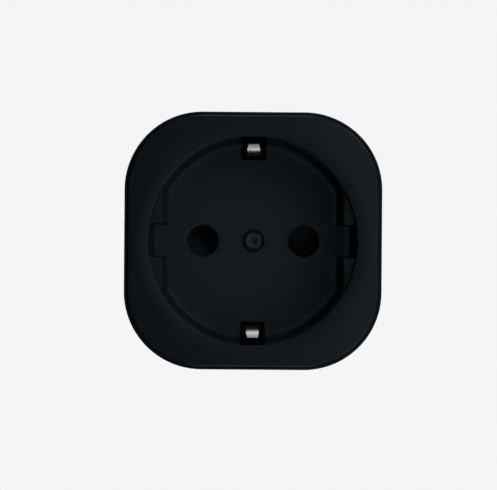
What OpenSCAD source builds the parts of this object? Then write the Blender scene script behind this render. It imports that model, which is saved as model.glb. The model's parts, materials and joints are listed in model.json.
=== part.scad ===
// Compact smart plug: an earthed two-pin socket (type F) in front, an earthed plug (type E/F) behind.
// +Y points at the wall, +Z is up, and the origin is the centre of the plug nose's end face.
// Depths are given as y values, so the front face has the lowest y and the pin tips the highest.

/* [Housing] */
// Width and height of the housing
body_w = 48; // [47.5:0.25:48.5]
// Depth of the housing, from its front face to the plug nose
body_d = 40; // [40:0.5:44]
// Radius of the housing's four long edges
corner_r = 14.5; // [14:0.25:15]
// Radius of the rounding where the sides meet the rear face
rear_round = 4; // [2:0.5:4]
// Wall thickness of the housing
wall = 2; // [1.8:0.1:2]
// Width of the housing's lip that shows round the front cover
lip_w = 0.45; // [0.4:0.05:0.9]
// How far the lip stands back behind the front face
lip_back = 0.35; // [0.2:0.05:0.6]

/* [Socket] */
// Diameter of the recess at its rim
rim_d = 39; // [38.8:0.1:39.2]
// Diameter of the recess at its floor
floor_d = 37.8; // [37.5:0.1:38]
// Depth of the recess, from the front face to its floor
recess_depth = 17.5; // [17.5:0.1:18]
// Outer diameter of the shallow dish round the rim
dish_d = 45.6; // [44:0.2:46]
// Depth of the shallow dish
dish_depth = 0.5; // [0.3:0.1:0.7]
// Distance between the two flat guides, at their front
guide_gap = 33.8; // [33.6:0.1:34]
// Width of the keyway through each guide
keyway_w = 6.2; // [6:0.1:6.4]
// Diameter of the pin holes
pin_hole_d = 5.7; // [5.6:0.1:5.8]
// Distance between the two pins, and between the two pin holes
pin_spacing = 19; // [19:1:19]
// Width of the slots for the earth clips
earth_slot_w = 4.7; // [4.5:0.1:5]
// Width of the earth clips
clip_w = 2.6; // [2.4:0.1:3]

/* [Plug] */
// Length of the nose that enters the wall socket
nose_l = 17; // [17:0.5:17.5]
// Diameter of the nose
nose_d = 36.7; // [36.4:0.1:36.8]
// Width of the nose across its flats
nose_flat_w = 32.2; // [32:0.1:32.4]
// Width of the key rib on each flat
nose_key_w = 5.6; // [5.4:0.1:5.8]
// Diameter of the plug pins
pin_d = 4.8; // [4.75:0.05:4.85]
// Length of the plug pins
pin_l = 19; // [18.5:0.5:19]
// Diameter of the hole for a wall socket's earth pin
earth_hole_d = 5.4; // [5.2:0.1:5.6]
// Height of the earth hole above the pins
earth_hole_z = 10; // [10:1:10]

/* [Moving parts] */
// Diameter of the power button
button_d = 8; // [7.6:0.1:8.2]
// Travel of the power button
button_travel = 0.5; // [0.3:0.1:0.5]
// Angle that the child-safety shutter turns through
shutter_turn = 40; // [38:1:41]

/* [Hidden] */
$fn = 64;

BLACK = "#1a1f22";
SATIN_BLACK = "#15191b";
NICKEL = "#c9c9c6";
BRASS = "#c6a15a";
STEEL = "#8e9195";
CREAM = "#d8d2c0";
BOARD_GREEN = "#1d5a3a";
CHIP = "#2b2b2d";

half = body_w / 2;
eps = 0.01;
part_gap = 0.05;
board_gap = 0.2;
moving_gap = 0.3;

// Depths of the main planes, front to back
y_front = -(nose_l + body_d);
y_lip = y_front + lip_back;
y_rim = y_front + dish_depth;
y_floor = y_front + recess_depth;
floor_t = 2.2;
y_floor_back = y_floor + floor_t;
y_flange = -nose_l;
y_rear_wall = y_flange - wall;
board_t = 1.6;
board_lift = 1.8;
y_board_back = y_rear_wall - board_lift;
y_board = y_board_back - board_t;
plate_t = 2.4;
y_plate_back = y_front + plate_t;

// Front cover
cover_half = half - lip_w;
well_wall = 1.3;
well_r = rim_d / 2 + well_wall;
skirt_t = 1.2;
skirt_l = 5.6;
guide_back = 2.8;
guide_draft = 0.5;
guide_end_z = 11;
guide_root = 20.2;
earth_slot_in = 15.2;
earth_slot_out = 20.2;
slot_top = 1.2;
hole_chamfer = 0.25;
pin_x = pin_spacing / 2;
post_r = 3.2;
screw_hole_r = 1.4;
screw_r = 1.25;
screw_head_r = 1.75;
screw_recess_r = 2.07;
screw_recess_depth = 1.2;
screw_end = -12.5;

// Shutter between the recess floor and the contact carrier
shutter_t = 4.8;
y_shutter = y_floor_back + moving_gap;
y_shutter_back = y_shutter + shutter_t;
y_carrier = y_shutter_back + moving_gap;
carrier_t = 1.6;
y_carrier_back = y_carrier + carrier_t;
shutter_bore_r = post_r + 0.08;
shutter_hub_r = 5.8;
wing_half = 3.4;
wing_in = 4.6;
wing_out = 12.6;
wing_edge_t = 0.6;
wing_land = 0.5;
spring_pocket_r = 4.9;
spring_pocket_depth = 2.2;
spring_r = 4.1;
spring_wire_r = 0.2;
spring_turns = 3.5;
spring_steps = 14;
spring_sides = 8;

// Contact carrier and contacts
carrier_r = 14.9;
carrier_half_z = 10.4;
carrier_tab_x = 3;
pocket_half = 4.8;
pocket_wall = 0.8;
pocket_end = -23.4;
stop_r = 0.7;
stop_clear = 0.25;
leg_r = 1.2;
leg_x = 10.8;
leg_z = 8.2;
contact_t = 0.6;
contact_w = 4.4;
contact_throat = 2.2;
contact_mouth = 3.2;
contact_base_w = 6.6;
contact_hole_r = 2.6;

// Earth parts
strip_t = 0.6;
strip_w = 4;
strip_z = 17.6;
strip_end = -2.5;
clip_depth = 11.5;
clip_bulge = 1.35;
clip_flare = 2;
clip_knee = 0.8;
clip_steps = 30;
hook_l = 1;
bridge_w = 4.4;
bridge_ring_r = 4.5;
sleeve_r = 3.05;
sleeve_bore_r = 2.45;
sleeve_front = -2.7;
sleeve_depth = 14.2;
tab_w = 3.2;

// Plug nose
nose_wall = 2.2;
nose_cavity_r = 16;
nose_cavity_flat = 14.3;
nose_chamfer = 0.8;
channel_w = 6;
channel_z = 17.2;
boss_r = 4;
boss_end = -8;
pin_shank_r = 2;
pin_shank_end = -9;
pin_cone_l = 0.4;
earth_boss_r = 4.1;
earth_mouth_l = 2.5;

// Power button, switch and light
y_button = y_board - 3.2;
button_gap = 0.15;
button_flange_r = 4.9;
button_flange_t = 0.8;
x_button_flange = half - wall - part_gap - button_flange_t;
plunger_r = 1.5;
plunger_tip = 20.2;
plunger_l = 2.1;
switch_x = [15.6, 19.1];
switch_half = 3.1;
light_z = 8;
light_r = 0.9;
light_leg = 1.4;
led_w = 1.6;
led_t = 0.8;

// ---- Helpers ----

// Extrudes a flat shape drawn in x and z between two depths
module slab(y0, y1) {
    translate([0, y1, 0]) rotate([90, 0, 0]) linear_extrude(y1 - y0) children();
}

// Extrudes a side profile drawn in y and z, centred on x = 0
module side_profile(w) {
    translate([-w / 2, 0, 0]) rotate([90, 0, 90]) linear_extrude(w) children();
}

module rod_y(r, y0, y1, x = 0, z = 0) {
    translate([x, y1, z]) rotate([90, 0, 0]) cylinder(r = r, h = y1 - y0);
}

module rod_x(r, x0, x1, y, z = 0) {
    translate([x0, y, z]) rotate([0, 90, 0]) cylinder(r = r, h = x1 - x0);
}

module rod_z(r, z0, z1, x, y) {
    translate([x, y, z0]) cylinder(r = r, h = z1 - z0);
}

module block(low, high) {
    translate(low) cube(high - low);
}

// Turns a profile of [radius, y] points about the Y axis
module turned(profile) {
    rotate([90, 0, 0]) rotate_extrude() polygon([for (p = profile) [p[0], -p[1]]]);
}

module both_ways() {
    children();
    rotate([0, 180, 0]) children();
}

module left_and_right() {
    children();
    mirror([1, 0, 0]) children();
}

module top_and_bottom() {
    children();
    mirror([0, 0, 1]) children();
}

CORNERS = [[1, 1], [-1, 1], [-1, -1], [1, -1]];
corner_steps = 12;

// Outline of a square with round corners, anticlockwise
function rounded_points(h, r) = [
    for (q = [0:3], i = [0:corner_steps])
        let (a = 90 * (q + i / corner_steps)) (h - r) * CORNERS[q] + r * [cos(a), sin(a)]
];

module rounded_square(h, r) {
    polygon(rounded_points(h, r));
}

// Joins rounded squares, each given as [y, inset from the housing's outline]
module rounded_loft(rings) {
    n = 4 * (corner_steps + 1);
    last = (len(rings) - 1) * n;
    points = [for (g = rings, p = rounded_points(half - g[1], corner_r - g[1])) [p[0], g[0], p[1]]];
    sides = [
        for (k = [0:len(rings) - 2], i = [0:n - 1])
            let (a = k * n + i, b = k * n + (i + 1) % n) [a, b, b + n, a + n]
    ];
    front = [for (i = [n - 1:-1:0]) i];
    back = [for (i = [0:n - 1]) last + i];
    polyhedron(points, concat(sides, [front, back]));
}

// Both edges of a bent strip of thickness t that follows a path
function direction(path, i) =
    let (d = path[min(i + 1, len(path) - 1)] - path[max(i - 1, 0)]) d / norm(d);
function edge(path, i, t) = let (d = direction(path, i)) path[i] + t * [-d[1], d[0]];
function strip_outline(path, t) = concat(
    [for (i = [0:len(path) - 1]) edge(path, i, t / 2)],
    [for (i = [len(path) - 1:-1:0]) edge(path, i, -t / 2)]
);

// ---- Housing ----

module housing_block() {
    edge_steps = 6;
    rounding = [
        for (i = [0:edge_steps])
            let (a = 90 * i / edge_steps)
                [y_flange - rear_round * (1 - sin(a)), rear_round * (1 - cos(a))]
    ];
    rounded_loft(concat([[y_lip, lip_back], [y_lip + lip_back, 0]], rounding));
}

module nose_block() {
    r = nose_d / 2;
    intersection() {
        slab(y_flange - 1, 0) {
            square([nose_flat_w, nose_d + 2], center = true);
            square([nose_d + 2, nose_key_w], center = true);
        }
        turned([[0, y_flange - 1], [r, y_flange - 1], [r, -nose_chamfer], [r - nose_chamfer, 0], [0, 0]]);
    }
}

module nose_cavity() {
    intersection() {
        rod_y(nose_cavity_r, y_rear_wall - eps, -nose_wall);
        block([-nose_cavity_flat, y_rear_wall - 1, -half], [nose_cavity_flat, 0, half]);
    }
}

module rear_housing_bosses() {
    board_post_xz = 14.5;
    rod_y(post_r, y_board_back, -nose_wall + eps);
    rod_y(earth_boss_r, -sleeve_depth - strip_t, -nose_wall + eps, 0, earth_hole_z);
    left_and_right() rod_y(boss_r, boss_end, -nose_wall + eps, pin_x);
    left_and_right() top_and_bottom()
        rod_y(2, y_board_back, y_rear_wall + eps, board_post_xz, board_post_xz);
}

module earth_strip_way() {
    z0 = strip_z - strip_t / 2 - part_gap;
    z1 = strip_z + strip_t / 2 + part_gap;
    x = strip_w / 2 + part_gap;
    block([-x, y_rear_wall - 1, z0], [x, y_flange + eps, z1]);
    block([-channel_w / 2, y_flange, channel_z], [channel_w / 2, 1, half]);
    block([-x, strip_end - strip_t - part_gap, z0 - hook_l], [x, strip_end + part_gap, z1]);
}

// Hole for a pin's shank, opening into the cone that seats the pin's shoulder
module pin_seat() {
    r = pin_shank_r + part_gap;
    mouth_r = pin_d / 2 + part_gap;
    turned([
        [0, boss_end - 1], [r, boss_end - 1], [r, -pin_cone_l], [mouth_r, 0], [mouth_r, 1], [0, 1]
    ]);
}

// Outer shell: side walls, rear wall and plug nose in one moulding
module rear_housing() {
    color(BLACK) difference() {
        union() {
            difference() {
                union() {
                    housing_block();
                    nose_block();
                }
                slab(y_front - 1, y_rear_wall) rounded_square(half - wall, corner_r - wall);
                slab(y_front - 1, y_plate_back)
                    rounded_square(cover_half + part_gap, corner_r - lip_w + part_gap);
                nose_cavity();
            }
            rear_housing_bosses();
        }
        top_and_bottom() earth_strip_way();
        left_and_right() translate([pin_x, 0, 0]) pin_seat();
        rod_y(earth_hole_d / 2, -earth_mouth_l - eps, 1, 0, earth_hole_z);
        rod_y(sleeve_r + part_gap, -sleeve_depth - 1, -earth_mouth_l, 0, earth_hole_z);
        rod_y(screw_r + part_gap, y_board_back - 1, screw_end + 0.5);
        rod_x(button_d / 2 + button_gap, half - wall - 1, half + 1, y_button);
        rod_x(light_r + part_gap, half - wall - 1, half + 1, y_button, light_z);
    }
}

// ---- Front cover with the socket recess ----

module recess_void() {
    turned([
        [0, y_front - 1], [dish_d / 2, y_front - 1], [dish_d / 2, y_front],
        [rim_d / 2, y_rim], [floor_d / 2, y_floor], [0, y_floor]
    ]);
}

// One half of a flat guide, beside the keyway
module guide_half() {
    y_guide = y_front + guide_back;
    x = guide_gap / 2;
    intersection() {
        translate([0, 0, keyway_w / 2]) linear_extrude(guide_end_z - keyway_w / 2) polygon([
            [x, y_guide], [guide_root, y_guide], [guide_root, y_floor + 1], [x - guide_draft, y_floor + 1]
        ]);
        rod_y(guide_root, y_guide - 1, y_floor + 2);
    }
}

module front_cover() {
    skirt_half = half - wall - 3 * part_gap;
    skirt_r = corner_r - wall - 3 * part_gap;
    color(SATIN_BLACK) difference() {
        union() {
            difference() {
                union() {
                    slab(y_front, y_plate_back) rounded_square(cover_half, corner_r - lip_w);
                    slab(y_plate_back - eps, y_plate_back + skirt_l) difference() {
                        rounded_square(skirt_half, skirt_r);
                        rounded_square(skirt_half - skirt_t, skirt_r - skirt_t);
                    }
                    rod_y(well_r, y_plate_back - 1, y_floor_back);
                }
                recess_void();
            }
            left_and_right() top_and_bottom() guide_half();
            rod_y(post_r, y_floor_back - 1, y_carrier);
        }
        top_and_bottom() block(
            [-earth_slot_w / 2, y_rim + slot_top, earth_slot_in],
            [earth_slot_w / 2, y_floor_back + 1, earth_slot_out]
        );
        left_and_right() translate([pin_x, 0, 0]) turned([
            [0, y_floor - 1], [pin_hole_d / 2 + hole_chamfer, y_floor - 1],
            [pin_hole_d / 2 + hole_chamfer, y_floor], [pin_hole_d / 2, y_floor + hole_chamfer],
            [pin_hole_d / 2, y_floor_back + 1], [0, y_floor_back + 1]
        ]);
        rod_y(screw_recess_r, y_floor - 1, y_floor + screw_recess_depth);
        rod_y(screw_hole_r, y_floor, y_carrier + 1);
    }
}

// Long screw with a low domed head that clamps cover, carrier, board and housing together
module centre_screw() {
    y_seat = y_floor + screw_recess_depth;
    head_h = 1.05;
    drive_r = 0.63;
    drive_depth = 0.5;
    drive_pin_r = 0.22;
    color(CHIP) {
        difference() {
            turned([
                [0, y_seat - head_h], [screw_head_r * 0.45, y_seat - 0.96 * head_h],
                [screw_head_r * 0.8, y_seat - 0.75 * head_h], [screw_head_r, y_seat - 0.4 * head_h],
                [screw_head_r, y_seat], [screw_r, y_seat], [screw_r, screw_end - 0.6],
                [screw_r - 0.6, screw_end], [0, screw_end]
            ]);
            difference() {
                rod_y(drive_r, y_seat - head_h - 1, y_seat - head_h + drive_depth);
                rod_y(drive_pin_r, y_seat - 0.85 * head_h, y_seat);
            }
        }
    }
}

// ---- Child-safety shutter ----

// Wing over one pin hole, with the ramp that an entering pin pushes aside
module shutter_wing() {
    translate([(wing_in + wing_out) / 2, 0, 0]) side_profile(wing_out - wing_in) polygon([
        [y_shutter, wing_half], [y_shutter, wing_half - wing_land],
        [y_shutter_back - wing_edge_t, -wing_half], [y_shutter_back, -wing_half],
        [y_shutter_back, wing_half]
    ]);
}

module shutter() {
    color(CHIP) difference() {
        union() {
            rod_y(shutter_hub_r, y_shutter, y_shutter_back);
            both_ways() shutter_wing();
        }
        rod_y(shutter_bore_r, y_shutter - 1, y_shutter_back + 1);
        rod_y(spring_pocket_r, y_shutter_back - spring_pocket_depth, y_shutter_back + 1);
    }
}

// Torsion spring, a round wire wound about the shutter's post
module shutter_spring() {
    steps = round(spring_turns * spring_steps);
    y0 = y_shutter_back - spring_pocket_depth + 0.3;
    y1 = y_carrier - spring_wire_r - part_gap;
    points = [
        for (i = [0:steps], j = [0:spring_sides - 1])
            let (a = 360 * spring_turns * i / steps, b = 360 * j / spring_sides,
                 r = spring_r + spring_wire_r * cos(b), y = y0 + (y1 - y0) * i / steps)
                [r * cos(a), y + spring_wire_r * sin(b), r * sin(a)]
    ];
    sides = [
        for (i = [0:steps - 1], j = [0:spring_sides - 1])
            let (a = i * spring_sides + j, b = i * spring_sides + (j + 1) % spring_sides)
                [a, b, b + spring_sides, a + spring_sides]
    ];
    first = [for (j = [spring_sides - 1:-1:0]) j];
    last = [for (j = [0:spring_sides - 1]) steps * spring_sides + j];
    color(STEEL) polyhedron(points, concat(sides, [first, last]));
}

// ---- Contact carrier and contacts ----

// Where a wing's edge comes to rest, turned by the shutter's angle about the post
module stop_peg(angle, along, side) {
    rotate([0, -angle, 0])
        rod_y(stop_r, y_shutter + 0.4, y_carrier + eps, along, side * (wing_half + stop_r + stop_clear));
}

module contact_carrier() {
    tab_z = strip_z - strip_t / 2 - part_gap;
    color(BLACK) difference() {
        union() {
            slab(y_carrier, y_carrier_back) intersection() {
                circle(r = carrier_r);
                square([2 * carrier_r + 1, 2 * carrier_half_z], center = true);
            }
            block([-carrier_tab_x, y_carrier, -tab_z], [carrier_tab_x, y_carrier_back, tab_z]);
            rod_y(3, y_carrier_back - eps, y_board);
            left_and_right() top_and_bottom()
                rod_y(leg_r, y_carrier_back - eps, y_board, leg_x, leg_z);
            left_and_right() block(
                [pin_x - pocket_half, y_carrier_back - eps, -pocket_half],
                [pin_x + pocket_half, pocket_end, pocket_half]
            );
            both_ways() {
                stop_peg(0, 11.4, -1);
                stop_peg(shutter_turn, 9, 1);
            }
        }
        rod_y(screw_hole_r, y_carrier - 1, y_board + 1);
        left_and_right() {
            rod_y(3.1, y_carrier - 1, y_carrier_back + 1, pin_x);
            block(
                [pin_x - pocket_half + pocket_wall, y_carrier_back, -pocket_half + pocket_wall],
                [pin_x + pocket_half - pocket_wall, pocket_end + 1, pocket_half - pocket_wall]
            );
        }
    }
}

// Pair of spring leaves that grip an entering pin, on a base that stands on the board
module socket_contact() {
    y_mouth = y_carrier_back + 0.4;
    y_base = pocket_end - 0.4;
    leaf = [
        [y_base, contact_mouth], [y_base - 1.8, contact_mouth - 0.3],
        [y_mouth + 2.4, contact_throat + contact_t / 2], [y_mouth, contact_mouth]
    ];
    color(BRASS) {
        top_and_bottom() side_profile(contact_w) polygon(strip_outline(leaf, contact_t));
        difference() {
            block(
                [-contact_base_w / 2, y_base - contact_t / 2, -contact_mouth - contact_t / 2],
                [contact_base_w / 2, y_base + contact_t / 2, contact_mouth + contact_t / 2]
            );
            rod_y(contact_hole_r, y_base - 1, y_base + 1);
        }
        top_and_bottom() block(
            [-1, y_base, contact_mouth - contact_t / 2],
            [1, y_board, contact_mouth + contact_t / 2]
        );
    }
}

module live_contact() {
    translate([-pin_x, 0, 0]) socket_contact();
}

module neutral_contact() {
    translate([pin_x, 0, 0]) socket_contact();
}

// ---- Earth parts ----

// Smooth rise from 0 to 1
function ease(t) = t * t * (3 - 2 * t);

// Height of the front clip's middle line, u running from 0 at its root to 1 at its tip:
// it leans inwards up to the knee, then turns outwards ever more steeply
function clip_z(u) = strip_z - clip_bulge * ease(min(u / clip_knee, 1))
    + clip_flare * pow(max(0, (u - clip_knee) / (1 - clip_knee)), 2);

// One strip from the sprung clip in the recess to the side contact on the plug nose
module earth_strip() {
    clip = [for (i = [0:clip_steps]) let (u = i / clip_steps) [y_floor - clip_depth * u, clip_z(u)]];
    z0 = strip_z - strip_t / 2;
    color(NICKEL) {
        side_profile(clip_w) polygon(strip_outline(concat([[y_floor_back + 2, strip_z]], clip), strip_t));
        block([-strip_w / 2, y_floor_back + 1, z0], [strip_w / 2, strip_end, z0 + strip_t]);
        block(
            [-strip_w / 2, strip_end - strip_t, z0 - hook_l + part_gap],
            [strip_w / 2, strip_end, z0 + eps]
        );
    }
}

module earth_strip_top() {
    earth_strip();
}

module earth_strip_bottom() {
    mirror([0, 0, 1]) earth_strip();
}

// Cross strip that joins both earth strips, with a tab to the earth pin's sleeve
module earth_bridge() {
    y0 = y_carrier_back + board_gap;
    z1 = strip_z - strip_t / 2;
    color(NICKEL) difference() {
        union() {
            block([-bridge_w / 2, y0, -z1], [bridge_w / 2, y0 + strip_t, z1]);
            rod_y(bridge_ring_r, y0, y0 + strip_t);
            block(
                [-tab_w / 2, y0, earth_hole_z - strip_t / 2],
                [tab_w / 2, -sleeve_depth - strip_t, earth_hole_z + strip_t / 2]
            );
        }
        rod_y(post_r, y0 - 1, y0 + strip_t + 1);
    }
}

// Slotted sleeve behind the nose's earth hole
module earth_pin_sleeve() {
    slit_w = 0.5;
    color(NICKEL) translate([0, 0, earth_hole_z]) difference() {
        rod_y(sleeve_r, -sleeve_depth - strip_t, sleeve_front);
        rod_y(sleeve_bore_r, -sleeve_depth, 1);
        block([-slit_w / 2, -sleeve_depth + 3, -sleeve_r - 1], [slit_w / 2, 1, sleeve_r + 1]);
    }
}

// ---- Plug pins and their links to the board ----

module plug_pin() {
    tip = 1.4;
    r = pin_d / 2;
    color(NICKEL) turned([
        [0, pin_shank_end], [pin_shank_r, pin_shank_end], [pin_shank_r, -pin_cone_l], [r, 0],
        [r, pin_l - tip],
        [r * 0.93, pin_l - tip * 0.5], [r * 0.72, pin_l - tip * 0.15], [r * 0.4, pin_l], [0, pin_l]
    ]);
}

module plug_pin_left() {
    translate([-pin_x, 0, 0]) plug_pin();
}

module plug_pin_right() {
    translate([pin_x, 0, 0]) plug_pin();
}

// Bent strip from a pin's inner end to the back of the board, clear of a plugged-in pin's tip
module pin_link() {
    link_x = 13.5;
    link_half = 2;
    color(BRASS) {
        block([pin_x - 2, pin_shank_end - strip_t, -link_half], [link_x, pin_shank_end, link_half]);
        block([link_x - strip_t, y_board_back, -link_half], [link_x, pin_shank_end, link_half]);
    }
}

module neutral_link() {
    pin_link();
}

module live_link() {
    mirror([1, 0, 0]) pin_link();
}

// ---- Circuit board and what it carries ----

module main_board() {
    board_half = 20.2;
    notch_z = 16.9;
    color(BOARD_GREEN) difference() {
        slab(y_board, y_board_back) rounded_square(board_half, board_half - half + corner_r);
        rod_y(screw_r + 0.25, y_board - 1, y_board_back + 1);
        left_and_right() rod_y(3.1, y_board - 1, y_board_back + 1, pin_x);
        top_and_bottom() block([-2.6, y_board - 1, notch_z], [2.6, y_board_back + 1, half]);
        block(
            [-tab_w / 2 - 0.4, y_board - 1, earth_hole_z - 0.6],
            [tab_w / 2 + 0.4, y_board_back + 1, earth_hole_z + 0.6]
        );
    }
}

// Block with its two long edges broken, standing off the board by its height
module component(x, z, size, height, front = true) {
    bevel = min(0.4, height / 4);
    y0 = front ? y_board - height : y_board_back;
    translate([x, 0, z]) slab(y0, y0 + height) polygon([
        [-size[0] / 2 + bevel, -size[1] / 2], [size[0] / 2 - bevel, -size[1] / 2],
        [size[0] / 2, -size[1] / 2 + bevel], [size[0] / 2, size[1] / 2 - bevel],
        [size[0] / 2 - bevel, size[1] / 2], [-size[0] / 2 + bevel, size[1] / 2],
        [-size[0] / 2, size[1] / 2 - bevel], [-size[0] / 2, -size[1] / 2 + bevel]
    ]);
}

// Body of a chip with a row of legs on each long side
module chip(x, z, size, height, legs) {
    pitch = 1.27;
    color(CHIP) component(x, z, size, height);
    color(NICKEL) for (i = [0:legs - 1], s = [-1, 1])
        translate([x + pitch * (i - (legs - 1) / 2), 0, z + s * (size[1] / 2 + 0.4)])
            block([-0.2, y_board - 0.4, -0.45], [0.2, y_board, 0.45]);
}

module power_relay() {
    color(SATIN_BLACK) component(0, -8.65, [18, 8.7], 15.6, false);
}

module bulk_capacitor() {
    crimp = 0.4;
    h = 11;
    y1 = y_board_back + h;
    color("#2a3f73") translate([-8.8, 0, 8.6]) turned([
        [0, y_board_back], [3.5, y_board_back], [3.5, y_board_back + 1],
        [3.5 - crimp, y_board_back + 1.4], [3.5, y_board_back + 1.8],
        [3.5, y1 - crimp], [3.5 - crimp, y1], [0, y1]
    ]);
}

module filter_inductor() {
    h = 9;
    y1 = y_board_back + h;
    color(CHIP) translate([8.8, 0, 8.6]) turned([
        [0, y_board_back], [3.5, y_board_back], [3.5, y_board_back + 1.2], [2.9, y_board_back + 1.5],
        [2.9, y1 - 1.5], [3.5, y1 - 1.2], [3.5, y1], [0, y1]
    ]);
}

module line_capacitor() {
    color("#d9b93b") component(-12, 14.2, [12, 6], 11);
}

module surge_varistor() {
    x = -13;
    r = 5;
    y = y_board - r - 1;
    color("#2f5f9e") rod_z(r, -16.2, -12.2, x, y);
    color(NICKEL) for (s = [-1, 1])
        rod_y(0.3, y, y_board, x + s * 2.5, -14.2 + s * 0.6);
}

module line_fuse() {
    color(CHIP) rod_y(4.1, y_board - 7.2, y_board, 13.2, -13.6);
}

module bridge_rectifier() {
    color(CHIP) component(-17.3, 0, [4.2, 4.6], 1.5);
}

module power_controller() {
    chip(5.7, 8, [5, 3.6], 1.5, 4);
}

module metering_chip() {
    chip(0, -9, [10, 3.9], 1.6, 8);
}

// Flat resistor strip raised on two feet
module current_shunt() {
    x = [-19.4, -12.6];
    foot = 1.2;
    z = [-8.6, -6];
    lift = 0.8;
    color(BRASS) {
        block([x[0], y_board - lift - strip_t, z[0]], [x[1], y_board - lift, z[1]]);
        for (x0 = [x[0], x[1] - foot])
            block([x0, y_board - lift - eps, z[0]], [x0 + foot, y_board, z[1]]);
    }
}

radio_x = [4, 17];
radio_z = [11.2, 17];
radio_t = 0.8;
y_radio = y_board - radio_t;

module radio_board() {
    color("#16324f") block([radio_x[0], y_radio, radio_z[0]], [radio_x[1], y_board, radio_z[1]]);
}

module radio_shield() {
    can_h = 1.8;
    color(NICKEL)
        block(
            [radio_x[0] + 0.6, y_radio - can_h, radio_z[0] + 0.5],
            [radio_x[0] + 7.6, y_radio, radio_z[1] - 0.5]
        );
}

// Printed meander aerial at the end of the radio board
module antenna_trace() {
    rows = 5;
    pitch = 1;
    line_w = 0.35;
    line_t = 0.1;
    x0 = radio_x[1] - 4.4;
    x1 = radio_x[1] - 0.5;
    z0 = radio_z[0] + 0.7;
    color(BRASS) for (i = [0:rows - 1]) {
        block([x0, y_radio - line_t, z0 + i * pitch], [x1, y_radio, z0 + i * pitch + line_w]);
        if (i < rows - 1) {
            x = i % 2 == 0 ? x1 - line_w : x0;
            block(
                [x, y_radio - line_t, z0 + i * pitch],
                [x + line_w, y_radio, z0 + (i + 1) * pitch + line_w]
            );
        }
    }
}

// ---- Power button, its switch and the status light ----

module side_switch() {
    color(CHIP) difference() {
        block([switch_x[0], 2 * y_button - y_board, -switch_half], [switch_x[1], y_board, switch_half]);
        rod_x(plunger_r + 0.1, plunger_tip - plunger_l - button_travel - 0.4, switch_x[1] + 1, y_button);
    }
}

module switch_plunger() {
    color(CREAM) rod_x(plunger_r, plunger_tip - plunger_l, plunger_tip, y_button);
}

// Round flush cap with a retaining flange behind the wall and a stem on the plunger
module power_button() {
    edge_bevel = 0.3;
    r = button_d / 2;
    color(SATIN_BLACK) {
        rod_x(r, x_button_flange, half - edge_bevel, y_button);
        translate([half - edge_bevel, y_button, 0]) rotate([0, 90, 0])
            cylinder(r1 = r, r2 = r - edge_bevel, h = edge_bevel - part_gap);
        rod_x(button_flange_r, x_button_flange, x_button_flange + button_flange_t, y_button);
        rod_x(plunger_r, plunger_tip, x_button_flange + eps, y_button);
    }
}

// Clear rod from the side wall, bent down to the light on the board
module light_guide() {
    x = switch_x[1] - light_leg;
    color("#e6ebee") {
        rod_x(light_r, x, half - part_gap, y_button, light_z);
        block(
            [x - light_leg / 2, y_button - light_leg / 2, light_z - light_leg / 2],
            [x + light_leg / 2, y_board - led_t - 0.1, light_z + light_leg / 2]
        );
    }
}

module status_led() {
    x = switch_x[1] - light_leg;
    color("#f2f0e2") block(
        [x - led_w / 2, y_board - led_t, light_z - led_w / 2],
        [x + led_w / 2, y_board, light_z + led_w / 2]
    );
}

rear_housing();
front_cover();
centre_screw();
shutter();
shutter_spring();
contact_carrier();
live_contact();
neutral_contact();
earth_strip_top();
earth_strip_bottom();
earth_bridge();
earth_pin_sleeve();
plug_pin_left();
plug_pin_right();
live_link();
neutral_link();
main_board();
power_relay();
bulk_capacitor();
filter_inductor();
line_capacitor();
surge_varistor();
line_fuse();
bridge_rectifier();
power_controller();
metering_chip();
current_shunt();
radio_board();
radio_shield();
antenna_trace();
side_switch();
switch_plunger();
power_button();
light_guide();
status_led();
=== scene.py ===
import json
import math

import bmesh
import bpy
from mathutils import Matrix, Vector


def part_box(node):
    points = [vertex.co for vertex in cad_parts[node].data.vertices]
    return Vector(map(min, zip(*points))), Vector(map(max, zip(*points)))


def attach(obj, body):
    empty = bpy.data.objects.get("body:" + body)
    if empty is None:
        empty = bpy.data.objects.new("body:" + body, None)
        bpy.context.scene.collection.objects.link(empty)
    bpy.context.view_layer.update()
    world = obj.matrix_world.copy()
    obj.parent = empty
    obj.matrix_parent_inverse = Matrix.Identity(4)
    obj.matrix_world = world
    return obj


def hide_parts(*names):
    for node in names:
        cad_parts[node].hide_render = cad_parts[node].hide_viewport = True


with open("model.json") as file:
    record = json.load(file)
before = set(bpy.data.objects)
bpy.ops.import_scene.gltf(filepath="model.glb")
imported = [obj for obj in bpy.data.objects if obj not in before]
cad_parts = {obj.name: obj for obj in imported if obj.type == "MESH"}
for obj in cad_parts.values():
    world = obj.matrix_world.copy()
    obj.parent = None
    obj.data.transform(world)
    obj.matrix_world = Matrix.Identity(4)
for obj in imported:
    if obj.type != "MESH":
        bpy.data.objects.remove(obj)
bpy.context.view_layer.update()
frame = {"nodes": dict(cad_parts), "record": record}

MM = 0.001
TAU = 2 * math.pi


def box_mm(node):
    """Lowest and highest corners of a CAD node, in millimetres."""
    low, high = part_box(node)
    return low / MM, high / MM


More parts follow.
